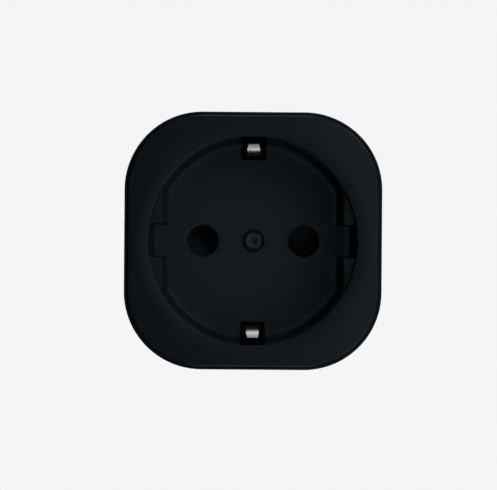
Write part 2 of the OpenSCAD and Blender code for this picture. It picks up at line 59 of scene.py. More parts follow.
# Main planes and widths in millimetres. +Y points at the wall, so the front face has the lowest y.
HOUSE_LO, HOUSE_HI = box_mm("rear_housing")
COVER_LO, COVER_HI = box_mm("front_cover")
SHUTTER_LO, SHUTTER_HI = box_mm("shutter")
HALF = HOUSE_HI.x
COVER_HALF = COVER_HI.x
Y_FRONT = COVER_LO.y
Y_LIP = HOUSE_LO.y
Y_CARRIER = COVER_HI.y
LIP = HALF - COVER_HALF
CORNER_R = 14.5
WALL = 2.0
NOSE_L = 17.0
RECESS_DEPTH = 17.5
FLOOR_THICK = 2.2
PLATE_THICK = 2.4
Y_FLANGE = -NOSE_L
Y_FLOOR = Y_FRONT + RECESS_DEPTH
Y_FLOOR_BACK = Y_FLOOR + FLOOR_THICK
Y_PLATE_BACK = Y_FRONT + PLATE_THICK
PIN_X = 9.5
EARTH_Z = 10
CREASE = math.radians(35)  # faces that meet at more than this keep a sharp edge
PAST = 0.004  # how far a cutter's flare stands out of the face that it cuts
TO_SIDE = Matrix.Rotation(math.radians(90), 4, "Z")  # turns a solid's -y end to +x


# ---------------------------------------------------------------- mesh tools

def round_corners(corners, steps=5):
    """Points along a polyline of (a, b, radius) corners, with every inner corner rounded off."""
    out = [Vector(corners[0][:2])]
    for k in range(1, len(corners) - 1):
        p = Vector(corners[k][:2])
        back, ahead = Vector(corners[k - 1][:2]) - p, Vector(corners[k + 1][:2]) - p
        radius = corners[k][2]
        if radius <= 0:
            out.append(p)
            continue
        if back.length < 1e-6 or ahead.length < 1e-6:
            out.extend([p] * (steps + 1))
            continue
        u, v = back.normalized(), ahead.normalized()
        turn = math.pi - u.angle(v)
        reach = radius * math.tan(turn / 2)
        reach = min(reach, 0.49 * back.length, 0.49 * ahead.length)
        if turn < 1e-3 or reach < 1e-6:
            out.extend([p] * (steps + 1))
            continue
        real = reach / math.tan(turn / 2)
        centre = p + (u + v).normalized() * (real / math.cos(turn / 2))
        first = p + u * reach - centre
        sign = 1 if u.x * v.y - u.y * v.x < 0 else -1
        for s in range(steps + 1):
            a = sign * turn * s / steps
            c, n = math.cos(a), math.sin(a)
            out.append(centre + Vector((first.x * c - first.y * n, first.x * n + first.y * c)))
    out.append(Vector(corners[-1][:2]))
    return out


def mesh_object(name, bm, merge=2e-6):
    """Finishes a bmesh into a smooth-shaded object with creases kept at sharp edges."""
    bmesh.ops.remove_doubles(bm, verts=bm.verts, dist=merge)
    bmesh.ops.dissolve_degenerate(bm, dist=merge / 4, edges=bm.edges)
    bmesh.ops.recalc_face_normals(bm, faces=bm.faces)
    mesh = bpy.data.meshes.new(name)
    bm.to_mesh(mesh)
    bm.free()
    shade(mesh)
    obj = bpy.data.objects.new(name, mesh)
    bpy.context.scene.collection.objects.link(obj)
    return obj


def shade(mesh):
    """Smooth shading that keeps the creases."""
    mesh.shade_smooth()
    mesh.set_sharp_from_angle(angle=CREASE)


def around_y(name, profile, angles):
    """Closed solid about the Y axis: profile(angle) gives its (radius, y) points in millimetres."""
    bm = bmesh.new()
    rings = []
    for a in angles:
        c, s = math.cos(a), math.sin(a)
        rings.append([bm.verts.new((p[0] * c * MM, p[1] * MM, p[0] * s * MM)) for p in profile(a)])
    for k, ring in enumerate(rings):
        after = rings[(k + 1) % len(rings)]
        for i in range(len(ring) - 1):
            bm.faces.new((ring[i], ring[i + 1], after[i + 1], after[i]))
    return mesh_object(name, bm)


def even_angles(count):
    """Equal steps round a full turn."""
    return [TAU * i / count for i in range(count)]


def turned(name, corners, count=96, steps=5):
    """Solid of revolution about the Y axis from (radius, y, rounding) corners in millimetres."""
    points = round_corners(corners, steps)
    return around_y(name, lambda a: points, even_angles(count))


def place(obj, x=0.0, y=0.0, z=0.0, turn=None):
    """Moves a new mesh, given in millimetres, and keeps its object at the origin."""
    move = Matrix.Translation(Vector((x, y, z)) * MM)
    obj.data.transform(move @ turn if turn else move)
    return obj


def rounded_box(name, low, high, radius=0.3, steps=3):
    """Box between two corners in millimetres with every edge rounded."""
    bm = bmesh.new()
    bmesh.ops.create_cube(bm, size=1.0)
    low, high = Vector(low), Vector(high)
    size, mid = high - low, (high + low) / 2
    for v in bm.verts:
        v.co = Vector((v.co.x * size.x + mid.x, v.co.y * size.y + mid.y, v.co.z * size.z + mid.z)) * MM
    bmesh.ops.bevel(
        bm, geom=list(bm.edges), offset=radius * MM, segments=steps, profile=0.5, affect="EDGES"
    )
    return mesh_object(name, bm, merge=1e-7)


def join(name, pieces):
    """Puts the meshes of several new pieces into the first one."""
    bm = bmesh.new()
    for p in pieces:
        bm.from_mesh(p.data)
    for p in pieces:
        bpy.data.objects.remove(p)
    return mesh_object(name, bm, merge=1e-8)


def boolean(obj, cutter, operation="DIFFERENCE"):
    """Cuts or adds a solid and applies the result to the mesh."""
    mod = obj.modifiers.new("cut", "BOOLEAN")
    mod.operation = operation
    mod.solver = "EXACT"
    mod.object = cutter
    graph = bpy.context.evaluated_depsgraph_get()
    mesh = bpy.data.meshes.new_from_object(obj.evaluated_get(graph))
    obj.modifiers.clear()
    obj.data = mesh
    bpy.data.objects.remove(cutter)
    shade(mesh)
    return obj


def blend_min(a, b, k):
    """Smaller of two lengths, rounded over where they differ by less than k."""
    h = max(k - abs(a - b), 0) / k
    return min(a, b) - h * h * k / 4


def blend_max(a, b, k):
    """Larger of two lengths, rounded over in the same way."""
    return -blend_min(-a, -b, k)


def squircle(a, half, radius):
    """Distance to the outline of a square with round corners, along a direction."""
    c, s = abs(math.cos(a)), abs(math.sin(a))
    flat = half - radius
    if half / max(c, 1e-9) * s <= flat:
        return half / c
    if half / max(s, 1e-9) * c <= flat:
        return half / s
    d = flat * (c + s)
    return d + math.sqrt(max(radius**2 - 2 * flat**2 + d * d, 0))


def keyed_circle(a, radius, flat, key, soft=0.35):
    """Distance to the outline of a circle with two flats, each with a key of full radius."""
    c, s = max(abs(math.cos(a)), 1e-6), max(abs(math.sin(a)), 1e-6)
    far = 60
    return blend_min(radius, blend_max(min(flat / c, far), min(key / s, far), soft), soft)


def shell_angles(key_half, flat):
    """Directions for the shells: even steps, and finer ones at the keys' and flats' corners."""
    angles = set(round(a, 6) for a in even_angles(480))
    key = math.atan2(key_half, flat)
    fine_step, fine_count = math.radians(0.16), 12
    for centre in (key, -key, math.pi - key, math.pi + key):
        for i in range(-fine_count, fine_count + 1):
            angles.add(round((centre + fine_step * i) % TAU, 6))
    return sorted(angles)


# ---------------------------------------------------------------- housing shells

# Front cover: a dished front round the recess, two guides with a key slot, and an inner skirt.
EDGE_R = 0.62
RIM_R = 19.5
FLOOR_R = 18.9
DISH_R = 22.2
DISH_DEPTH = 0.5
Y_RIM = Y_FRONT + DISH_DEPTH
GUIDE_X = 16.9
GUIDE_DRAFT = 0.5
KEY_HALF = 3.1
Y_GUIDE = Y_FRONT + 2.8
WELL_R = RIM_R + 1.3
SKIRT_GAP = 0.15
SKIRT_WALL = 1.2
SKIRT_DEPTH = 5.6
SKIRT = HALF - WALL - SKIRT_GAP
SLOT_HALF = 2.35
SLOT_Z = (15.2, 20.2)
SOCKET_HOLE_R = 2.85
POST_R = 3.2
HEAD_HOLE_R = 2.07
HEAD_SEAT = 1.2
STRIP_Z = 17.6


def wall_radius(y):
    """Radius of the recess wall, which narrows towards the floor."""
    return RIM_R + (FLOOR_R - RIM_R) * (y - Y_RIM) / (Y_FLOOR - Y_RIM)


def cover_profile(a):
    """Section of the front cover along one direction, from the recess floor round to its back."""
    key_end = keyed_circle(a, wall_radius(Y_FLOOR), GUIDE_X - GUIDE_DRAFT, KEY_HALF)
    key_top = keyed_circle(a, wall_radius(Y_GUIDE), GUIDE_X, KEY_HALF)
    floor_round = 0.9
    corners = [
        (0, Y_FLOOR, 0), (key_end - floor_round - 1, Y_FLOOR, 0), (key_end, Y_FLOOR, floor_round),
        (key_top, Y_GUIDE, 0.3), (wall_radius(Y_GUIDE), Y_GUIDE, 0.15), (RIM_R, Y_RIM, 0.22),
    ]
    dish_steps = 10
    for i in range(1, dish_steps):
        r = RIM_R + (DISH_R - RIM_R) * i / dish_steps
        corners.append((r, Y_FRONT + DISH_DEPTH * ((DISH_R - r) / (DISH_R - RIM_R)) ** 2, 0))
    edge = squircle(a, COVER_HALF, CORNER_R - LIP)
    skirt_r = CORNER_R - WALL - SKIRT_GAP
    skirt = squircle(a, SKIRT, skirt_r)
    skirt_in = max(squircle(a, SKIRT - SKIRT_WALL, skirt_r - SKIRT_WALL), WELL_R + 0.02)
    y_skirt = Y_PLATE_BACK + SKIRT_DEPTH
    corners += [
        (DISH_R, Y_FRONT, 0), (edge, Y_FRONT, EDGE_R), (edge, Y_PLATE_BACK, 0.1),
        (skirt, Y_PLATE_BACK, 0.1), (skirt, y_skirt, 0.3),
        (skirt_in, y_skirt, 0.3), (skirt_in, Y_PLATE_BACK, 0.2),
        (WELL_R, Y_PLATE_BACK, 0), (WELL_R, Y_FLOOR_BACK, 0.3), (0, Y_FLOOR_BACK, 0),
    ]
    return round_corners(corners, 4)


def flared_hole(name, radius, y_mouth, y_end, flare=0.3, count=72, steps=6):
    """Cutter for a hole whose mouth opens with a small round edge towards the front."""
    wide = radius + flare * 2.5
    return turned(name, [
        (0, y_mouth - 2, 0), (wide, y_mouth - 2, 0), (wide, y_mouth - PAST, 0),
        (radius, y_mouth - PAST, flare), (radius, y_end, 0), (0, y_end, 0),
    ], count, steps)


def make_front_cover():
    """Front plate, recess, floor and shutter post, with the earth slots, pin holes and screw way cut."""
    cover = around_y("cover_shell", cover_profile, shell_angles(KEY_HALF, GUIDE_X))
    post = turned("post", [
        (0, Y_FLOOR_BACK - 1, 0), (POST_R, Y_FLOOR_BACK - 1, 0), (POST_R, Y_CARRIER, 0.15),
        (0, Y_CARRIER, 0),
    ], count=72)
    boolean(cover, post, "UNION")
    cutters = []
    for side in (1, -1):
        low, high = sorted(side * z for z in SLOT_Z)
        cutters.append(rounded_box(
            "slot", (-SLOT_HALF, Y_RIM + 1.2, low), (SLOT_HALF, Y_FLOOR_BACK + 2, high), 0.55, 4))
        hole = flared_hole("pin_hole", SOCKET_HOLE_R, Y_FLOOR, Y_FLOOR_BACK + 1)
        cutters.append(place(hole, side * PIN_X))
    mouth, shank, seat = HEAD_HOLE_R + 0.5, 1.4, Y_FLOOR + HEAD_SEAT
    cutters.append(turned("screw_way", [
        (0, Y_FLOOR - 2, 0), (mouth, Y_FLOOR - 2, 0), (mouth, Y_FLOOR - PAST, 0),
        (HEAD_HOLE_R, Y_FLOOR - PAST, 0.2), (HEAD_HOLE_R, seat, 0.1), (shank, seat, 0.05),
        (shank, Y_CARRIER + 1, 0), (0, Y_CARRIER + 1, 0),
    ], count=72))
    boolean(cover, join("cover_cuts", cutters))
    return cover


# Rear housing: square walls, a rounded rear shoulder and the nose that enters the wall socket.
NOSE_R = 18.35
NOSE_FLAT = 16.1
NOSE_KEY = 2.8
CAVITY_R = 16.0
CAVITY_FLAT = 14.3
Y_NOSE_WALL = -2.2
PIN_ROOT_R = 2.05
PIN_SEAT_R = 2.454


def housing_profile(a):
    """Section of the housing along one direction, from inside the nose round to its end face."""
    cavity = keyed_circle(a, CAVITY_R, CAVITY_FLAT, 0.01)
    inner = squircle(a, HALF - WALL, CORNER_R - WALL)
    rebate = squircle(a, COVER_HALF + 0.05, CORNER_R - LIP + 0.05)
    outer = squircle(a, HALF, CORNER_R)
    nose = keyed_circle(a, NOSE_R, NOSE_FLAT, NOSE_KEY)
    return round_corners([
        (0, Y_NOSE_WALL, 0), (cavity, Y_NOSE_WALL, 0.5), (cavity, Y_FLANGE - WALL, 0.3),
        (inner, Y_FLANGE - WALL, 0.8), (inner, Y_PLATE_BACK, 0.1), (rebate, Y_PLATE_BACK, 0.1),
        (rebate, Y_LIP, 0.1), (outer, Y_LIP, 0.3), (outer, Y_FLANGE, 4.0),
        (nose, Y_FLANGE, 0.5), (nose, 0, 0.9), (0, 0, 0),
    ], 6)


def tube(name, outer, inner, y0, y1):
    """Tube along Y, open at both ends."""
    points = round_corners([
        (inner, (y0 + y1) / 2, 0), (inner, y0, 0.15), (outer, y0, 0.2), (outer, y1, 0.1),
        (inner, y1, 0.1), (inner, (y0 + y1) / 2 + 0.01, 0)], 3)
    return around_y(name, lambda a: points + [points[0]], even_angles(64))


def side_holes():
    """Cutters for the button's and the light guide's holes in the right side wall."""
    button_lo, button_hi = box_mm("power_button")
    guide_lo, guide_hi = box_mm("light_guide")
    y = (button_lo.y + button_hi.y) / 2
    z_light = (guide_lo.z + guide_hi.z) / 2
    holes = []
    for name, radius, flare, z in (("button_hole", 4.15, 0.25, 0), ("light_hole", 0.95, 0.12, z_light)):
        hole = flared_hole(name, radius, -HALF, -HALF + WALL + 1, flare, count=96, steps=5)
        holes.append(place(hole, 0, y, z, TO_SIDE))
    return holes


def nose_cuts(side):
    """Cutters on one side of the nose: an earth channel, its strip's way through, and a pin's seat."""
    channel_half, channel_z = 3, (17.2, 24)
    way_half, way_z = 2.05, (STRIP_Z - 0.35, STRIP_Z + 0.35)
    low, high = sorted(side * z for z in channel_z)
    channel = rounded_box("channel", (-channel_half, -16.9, low), (channel_half, 2, high), 0.25, 3)
    low, high = sorted(side * z for z in way_z)
    strip_way = rounded_box("strip_way", (-way_half, -19.5, low), (way_half, -16.5, high), 0.1, 2)
    pin_hole = turned("pin_hole", [
        (0, -9.5, 0), (PIN_ROOT_R, -9.5, 0), (PIN_ROOT_R, -0.4, 0), (PIN_SEAT_R, PAST, 0),
        (PIN_SEAT_R, 2, 0), (0, 2, 0)], 72)
    return [channel, strip_way, place(pin_hole, side * PIN_X)]


def make_bosses():
    """Tubes inside the housing for the screw, the earth sleeve, the two pins and the board."""
    y_root, y_end, board_at = -2.1, -20.8, 14.5
    bosses = [tube("post", 3.2, 1.3, y_end, y_root),
              place(tube("earth", 4.1, 3.1, -14.8, y_root), 0, 0, EARTH_Z)]
    for sx in (1, -1):
        bosses.append(place(tube("pin_boss", 4.0, PIN_ROOT_R, -8, y_root), sx * PIN_X))
        for sz in (1, -1):
            board_post = tube("board_post", 2.0, 0.8, y_end, -18.9)
            bosses.append(place(board_post, sx * board_at, 0, sz * board_at))
    return bosses


def make_rear_housing():
    """Side walls and plug nose in one moulding, with their holes cut and the bosses joined on."""
    housing = around_y("housing_shell", housing_profile, shell_angles(NOSE_KEY, NOSE_FLAT))
    hole, mouth = 2.7, 4
    earth = turned("earth_hole", [
        (0, -16, 0), (hole, -16, 0), (hole, PAST, 0.5), (mouth, PAST, 0), (mouth, 2, 0), (0, 2, 0)], 72)
    cutters = side_holes() + nose_cuts(1) + nose_cuts(-1) + [place(earth, 0, 0, EARTH_Z)]
    boolean(housing, join("housing_cuts", cutters))
    return join("housing_body", [housing] + make_bosses())


cover = make_front_cover()
housing = make_rear_housing()


# ---------------------------------------------------------------- small front parts

def make_screw():
    """Long screw with a low, slightly hollow head and a pin in its round drive recess."""
    lo, hi = box_mm("centre_screw")
    seat = Y_FLOOR + HEAD_SEAT
    top = lo.y
    drive, pin, deep = 0.63, 0.22, 0.9
    rim, head, shank, core, pitch = 1.5, 1.75, 1.25, 1.0, 0.45
    corners = [(0, top + 0.45, 0), (pin, top + 0.45, 0.06), (pin, top + deep, 0.03),
               (drive, top + deep, 0.05), (drive, top + 0.13, 0.06), (rim, top, 0.5),
               (head, top + 0.5, 0.2), (head, seat, 0.08), (shank, seat, 0.1)]
    y = seat + 8
    while y < hi.y - 1.2:
        corners += [(shank, y, 0), (core, y + 0.18, 0), (core, y + 0.27, 0), (shank, y + pitch, 0)]
        y += pitch
    corners += [(shank, hi.y - 0.6, 0.1), (shank - 0.6, hi.y, 0.1), (0, hi.y, 0)]
    return turned("screw", corners, count=72, steps=4)


def strip_section(width, thick, edge=0.12, steps=3):
    """Closed outline of a strip's section: width along X, thickness across it, with round edges."""
    half_w, half_t = width / 2, thick / 2
    points = []
    for q, (sx, sz) in enumerate(((1, 1), (-1, 1), (-1, -1), (1, -1))):
        for i in range(steps + 1):
            a = math.pi / 2 * (q + i / steps)
            points.append((
                sx * (half_w - edge) + edge * math.cos(a), sz * (half_t - edge) + edge * math.sin(a)))
    return points


def sweep_strip(name, path, widths, thick):
    """Bent metal strip: path gives (y, z) points in millimetres, widths its width at each."""
    bm = bmesh.new()
    rings = []
    for i, (y, z) in enumerate(path):
        y0, z0 = path[max(i - 1, 0)]
        y1, z1 = path[min(i + 1, len(path) - 1)]
        t = Vector((y1 - y0, z1 - z0)).normalized()
        n = Vector((-t.y, t.x))
        rings.append([
            bm.verts.new((px * MM, (y + n.x * pz) * MM, (z + n.y * pz) * MM))
            for px, pz in strip_section(widths[i], thick)
        ])
    for a, b in zip(rings, rings[1:]):
        for i in range(len(a)):
            j = (i + 1) % len(a)
            bm.faces.new((a[i], a[j], b[j], b[i]))
    bm.faces.new(rings[0])
    bm.faces.new(rings[-1][::-1])
    return mesh_object(name, bm, merge=1e-7)


def ease(t):
    """Slow start and slow end between 0 and 1."""
    return t * t * (3 - 2 * t)


def clip_z(u):
    """Height of the sprung clip's middle line, from 0 at its root to 1 at its tip."""
    z, bulge, flare, knee = STRIP_Z, 1.35, 2.0, 0.8
    outward = max(0, (u - knee) / (1 - knee))
    return z - bulge * ease(min(u / knee, 1)) + flare * outward**2


def earth_path():
    """Middle line and widths of the upper earth strip, from its hook on the nose to the clip's tip."""
    z, depth, strip_w, clip_w = STRIP_Z, 11.5, 4.0, 2.6
    y_hook, along, taper_from = 3.3, 24, 0.93
    path = [(-2.8, z - 1.0), (-2.8, z - 0.45), (-2.95, z - 0.12), (-y_hook, z)]
    path += [(-y_hook + (Y_FLOOR_BACK + 1.5 + y_hook) * i / along, z) for i in range(1, along + 1)]
    widths = [strip_w] * len(path)
    path += [(Y_FLOOR_BACK + 0.6, z), (Y_FLOOR_BACK, z), (Y_FLOOR_BACK - 1.2, z)]
    widths += [3.2, clip_w, clip_w]
    steps = 80
    for i in range(steps + 1):
        u = i / steps
        path.append((Y_FLOOR - depth * u, clip_z(u)))
        tip = max(0, (u - taper_from) / (1 - taper_from))
        widths.append(clip_w - 0.6 * tip**2)
    return path, widths


def make_earth_strip(name, side):
    """Earth strip with its sprung clip, above (side 1) or below (side -1) the middle."""
    path, widths = earth_path()
    return sweep_strip(name, [(y, side * z) for y, z in path], widths, 0.6)


def make_pin(side):
    """Turned pin with a thinner root in the housing and a rounded tip."""
    length = box_mm("plug_pin_left")[1].y
    root, body = 2.0, 2.4
    pin = turned(f"plug_pin_solid_{'right' if side > 0 else 'left'}", [
        (0, -9, 0), (root, -9, 0.2), (root, -0.4, 0), (body, 0, 0), (body, length - 0.9, 1.6),
        (1.25, length, 0.8), (0, length, 0)], count=96, steps=10)
    return place(pin, side * PIN_X)


def make_button():
    """Round cap with a faint thumb dish, a retaining flange and a stem."""
    lo, hi = box_mm("power_button")
    cap, flange, stem = 4.0, 4.9, 1.5
    face, flange_out, flange_in = hi.x, 21.95, 21.15
    corners = [(0, -face + 0.16, 0), (1.5, -face + 0.12, 0), (3.0, -face + 0.02, 0.8),
               (cap, -face, 0.28), (cap, -flange_out, 0), (flange, -flange_out, 0.1),
               (flange, -flange_in, 0.1), (stem, -flange_in, 0.1), (stem, -lo.x, 0.1), (0, -lo.x, 0)]
    button = turned("button_cap", corners, count=96, steps=6)
    return place(button, 0, (lo.y + hi.y) / 2, 0, TO_SIDE)


def make_light_guide():
    """Clear rod with a slightly domed end at the side wall, bent down to the light on the board."""
    lo, hi = box_mm("light_guide")
    button_lo, button_hi = box_mm("power_button")
    y_rod = (button_lo.y + button_hi.y) / 2
    z = (lo.z + hi.z) / 2
    radius, half = 0.9, 0.7
    x = lo.x + half
    rod = turned("rod", [(0, -hi.x, 0), (0.55, -hi.x + 0.02, 0.2), (radius, -hi.x + 0.14, 0.1),
                         (radius, -x, 0.3), (0, -x, 0)], count=48)
    place(rod, 0, y_rod, z, TO_SIDE)
    leg = rounded_box(
        "leg", (lo.x, y_rod - half, z - half), (lo.x + 2 * half, hi.y, z + half), 0.15)
    return join("light_rod", [rod, leg])


screw = make_screw()
clip_top = make_earth_strip("earth_clip_top", 1)
clip_bottom = make_earth_strip("earth_clip_bottom", -1)
pin_left = make_pin(-1)
pin_right = make_pin(1)
button = make_button()
light_guide = make_light_guide()


# ---------------------------------------------------------------- shutter

def make_shutter():
    """Hub with two ramped wings; each wing slopes away from the floor against the way it turns."""
    y0, y1 = SHUTTER_LO.y, SHUTTER_HI.y
    wing_in, wing_out, wing_half = 4.6, SHUTTER_HI.x, 3.4
    hub_r, bore_r, spring_r, spring_room = 5.8, 3.28, 4.9, 2.2
    bm = bmesh.new()
    outline = [(y0, wing_half), (y0, wing_half - 0.5), (y1 - 0.6, -wing_half), (y1, -wing_half),
               (y1, wing_half)]
    a = [bm.verts.new((wing_in * MM, y * MM, z * MM)) for y, z in outline]
    b = [bm.verts.new((wing_out * MM, y * MM, z * MM)) for y, z in outline]
    for i in range(len(outline)):
        j = (i + 1) % len(outline)
        bm.faces.new((a[i], a[j], b[j], b[i]))
    bm.faces.new(a[::-1])
    bm.faces.new(b)
    bmesh.ops.bevel(bm, geom=list(bm.edges), offset=0.18 * MM, segments=3, profile=0.5, affect="EDGES")
    wing = mesh_object("wing", bm, merge=1e-7)
    other = wing.copy()
    other.data = wing.data.copy()
    bpy.context.scene.collection.objects.link(other)
    other.data.transform(Matrix.Rotation(math.pi, 4, "Y"))
    hub = turned("hub", [(0, y0, 0), (hub_r, y0, 0.25), (hub_r, y1, 0.25), (0, y1, 0)], count=96)
    boolean(hub, join("wings", [wing, other]), "UNION")
    bore = turned("bore", [
        (0, y0 - 1, 0), (bore_r, y0 - 1, 0), (bore_r, y1 - spring_room, 0),
        (spring_r, y1 - spring_room, 0.2), (spring_r, y1 + 1, 0), (0, y1 + 1, 0)], count=96)
    return boolean(hub, bore)


shutter = make_shutter()


# ---------------------------------------------------------------- materials

def new_material(name):
    """A node material, its tree and its Principled shader."""
    mat = bpy.data.materials.new(name)
    mat.use_nodes = True
    tree = mat.node_tree
    return mat, tree, tree.nodes["Principled BSDF"]


def node(tree, kind, **values):
    """A new node, with values for its sockets or, where no socket has the name, its settings."""
    n = tree.nodes.new(kind)
    for key, value in values.items():
        if key in n.inputs:
            n.inputs[key].default_value = value
        else:
            setattr(n, key, value)
    return n


def noise(tree, scale, detail=3.0, rough=0.5):
    """Noise in object space; scale is in cycles per metre."""
    where = node(tree, "ShaderNodeTexCoord")
    tex = node(tree, "ShaderNodeTexNoise", Scale=scale, Detail=detail, Roughness=rough)
    tree.links.new(where.outputs["Object"], tex.inputs["Vector"])
    return tex.outputs["Fac"]


def remap(tree, value, low, high, from_low=0.3, from_high=0.7):
    """Maps a range of a value socket, by default a noise's useful middle, to low and high."""
    n = node(tree, "ShaderNodeMapRange")
    n.inputs["From Min"].default_value = from_low
    n.inputs["From Max"].default_value = from_high
    n.inputs["To Min"].default_value = low
    n.inputs["To Max"].default_value = high
    tree.links.new(value, n.inputs["Value"])
    return n.outputs["Result"]


def mix_color(tree, factor, a, b):
    """Colour between a and b, each a colour or a colour socket."""
    n = node(tree, "ShaderNodeMix", data_type="RGBA")
    for socket, value in ((6, a), (7, b)):
        if hasattr(value, "is_linked"):
            tree.links.new(value, n.inputs[socket])
        else:
            n.inputs[socket].default_value = (*value, 1)
    tree.links.new(factor, n.inputs[0])
    return n.outputs[2]


def bump(tree, bsdf, height, distance):
    """Fine relief of the given depth in metres."""
    n = node(tree, "ShaderNodeBump", Strength=1.0, Distance=distance)
    tree.links.new(height, n.inputs["Height"])
    tree.links.new(n.outputs["Normal"], bsdf.inputs["Normal"])


def product(tree, a, b):
    """One value socket times another."""
    n = node(tree, "ShaderNodeMath", operation="MULTIPLY")
    tree.links.new(a, n.inputs[0])
    tree.links.new(b, n.inputs[1])
    return n.outputs[0]


def multiply_add(tree, value, factor, offset):
    """A value socket times a number, plus another socket."""
    n = node(tree, "ShaderNodeMath", operation="MULTIPLY_ADD")
    tree.links.new(value, n.inputs[0])
    n.inputs[1].default_value = factor
    tree.links.new(offset, n.inputs[2])
    return n.outputs[0]


def edge_mask(tree):
    """Near 1 on convex edges, 0 on flat and hollow places."""
    flat, sharp = 0.505, 0.56
    geo = node(tree, "ShaderNodeNewGeometry")
    return remap(tree, geo.outputs["Pointiness"], 0.0, 1.0, flat, sharp)


def along_y(tree, output):
    """Y part of the texture coordinate (Object) or of the surface direction (Normal)."""
    where = node(tree, "ShaderNodeTexCoord")
    split = node(tree, "ShaderNodeSeparateXYZ")
    tree.links.new(where.outputs[output], split.inputs[0])
    return split.outputs["Y"]


def facing(tree):
    """1 on faces square to the Y axis, 0 on walls along it."""
    n = node(tree, "ShaderNodeMath", operation="ABSOLUTE")
    tree.links.new(along_y(tree, "Normal"), n.inputs[0])
    return n.outputs[0]


def edge_polish_and_highlight_mask(tree):
    """1 on the rounded outer edge of the front, and 0 elsewhere: there the plastic is made smoother and
    its colour is lifted as a painted highlight.
    """
    tilt = facing(tree)
    rounded = product(tree, remap(tree, tilt, 1, 0, 0.93, 0.97), remap(tree, tilt, 0, 1, 0.10, 0.35))
    depth = along_y(tree, "Object")
    return product(tree, rounded, remap(tree, depth, 1, 0, (Y_FRONT + 0.25) * MM, (Y_RIM - 0.05) * MM))


def recess_mask(tree):
    """0 on the front face, 1 deep in the recess."""
    return remap(tree, along_y(tree, "Object"), 0, 1, (Y_RIM + 1.4) * MM, (Y_RIM + 7) * MM)


def floor_mask(tree):
    """1 on the recess floor, 0 on the recess walls and the front face."""
    return product(tree, recess_mask(tree), remap(tree, facing(tree), 0, 1, 0.90, 0.99))


def scaled(tree, color, factor):
    """A colour, or a colour socket, times a grey factor socket."""
    n = node(tree, "ShaderNodeVectorMath", operation="SCALE")
    if hasattr(color, "is_linked"):
        tree.links.new(color, n.inputs[0])
    else:
        n.inputs[0].default_value = color
    tree.links.new(factor, n.inputs["Scale"])
    return n.outputs[0]


def moulded(name, color, rough=0.5, grain=9000, grain_depth=0.000006, specular=0.5,
            tint=(1, 1, 1), wear=0.08, deep=None, polish=0.0):
    """Moulded plastic: spark-eroded grain, slow flow marks, worn convex edges, and a smoother front edge
    that carries a painted highlight.

    deep, if given, is a lighter colour inside the recess, painted light that brightens the recess, and
    polish how much smoother its floor is.
    """
    mat, tree, bsdf = new_material(name)
    slow = noise(tree, 90, 2)
    fine = noise(tree, grain, 2, 0.6)
    polish_and_highlight = edge_polish_and_highlight_mask(tree)
    # Painted light: inside the recess the colour turns to the lighter deep colour.
    base = mix_color(tree, recess_mask(tree), color, deep) if deep else color
    base = scaled(tree, base, remap(tree, slow, 0.95, 1.05))
    # Lighter colour on edges: wear where the pointiness is high, plus a painted highlight on the front's
    # rounded outer edge.
    wear_and_highlight = tuple(c + WEAR_AND_HIGHLIGHT_LIFT * t for c, t in zip(color, tint))
    base = mix_color(tree, multiply_add(tree, edge_mask(tree), wear, polish_and_highlight), base, wear_and_highlight)
    tree.links.new(base, bsdf.inputs["Base Color"])
    matt = multiply_add(tree, fine, 0.10, remap(tree, slow, rough - 0.05, rough - 0.01))
    matt = multiply_add(tree, polish_and_highlight, -EDGE_POLISH, matt)
    if polish:
        matt = multiply_add(tree, floor_mask(tree), -polish, matt)
    tree.links.new(matt, bsdf.inputs["Roughness"])
    bsdf.inputs["Specular IOR Level"].default_value = specular
    bsdf.inputs["Specular Tint"].default_value = (*tint, 1)
    bump(tree, bsdf, fine, grain_depth)
    return mat


def metal(name, color, rough=0.25, brushed=(1, 1, 1)):
    """Plated or stamped metal: brushed or drawn lines, patches of tarnish, dulled pits."""
    scratch, tarnish = 0.000004, 0.8
    mat, tree, bsdf = new_material(name)
    bsdf.inputs["Metallic"].default_value = 1.0
    slow = noise(tree, 260, 3)
    where = node(tree, "ShaderNodeTexCoord")
    scale = node(tree, "ShaderNodeMapping")
    scale.inputs["Scale"].default_value = brushed
    tree.links.new(where.outputs["Object"], scale.inputs["Vector"])
    lines = node(tree, "ShaderNodeTexNoise", Scale=2600.0, Detail=2.0)
    tree.links.new(scale.outputs["Vector"], lines.inputs["Vector"])
    base = mix_color(tree, remap(tree, slow, 0, 1), tuple(c * tarnish for c in color), color)
    tree.links.new(base, bsdf.inputs["Base Color"])
    dull = multiply_add(
        tree, lines.outputs["Fac"], 0.12, remap(tree, slow, rough - 0.04, rough + 0.08))
    tree.links.new(dull, bsdf.inputs["Roughness"])
    bump(tree, bsdf, lines.outputs["Fac"], scratch)
    return mat


EDGE_POLISH = 0.26
# How much lighter the edge colour gets: real wear on convex edges, and a painted highlight on the
# front's rounded edge.
WEAR_AND_HIGHLIGHT_LIFT = 0.012
BLACK_TINT = (0.60, 0.82, 1.0)
BLACK = (0.0147, 0.0200, 0.0251)


def lighter(factor):
    """The plug's black, made lighter."""
    return tuple(factor * c for c in BLACK)


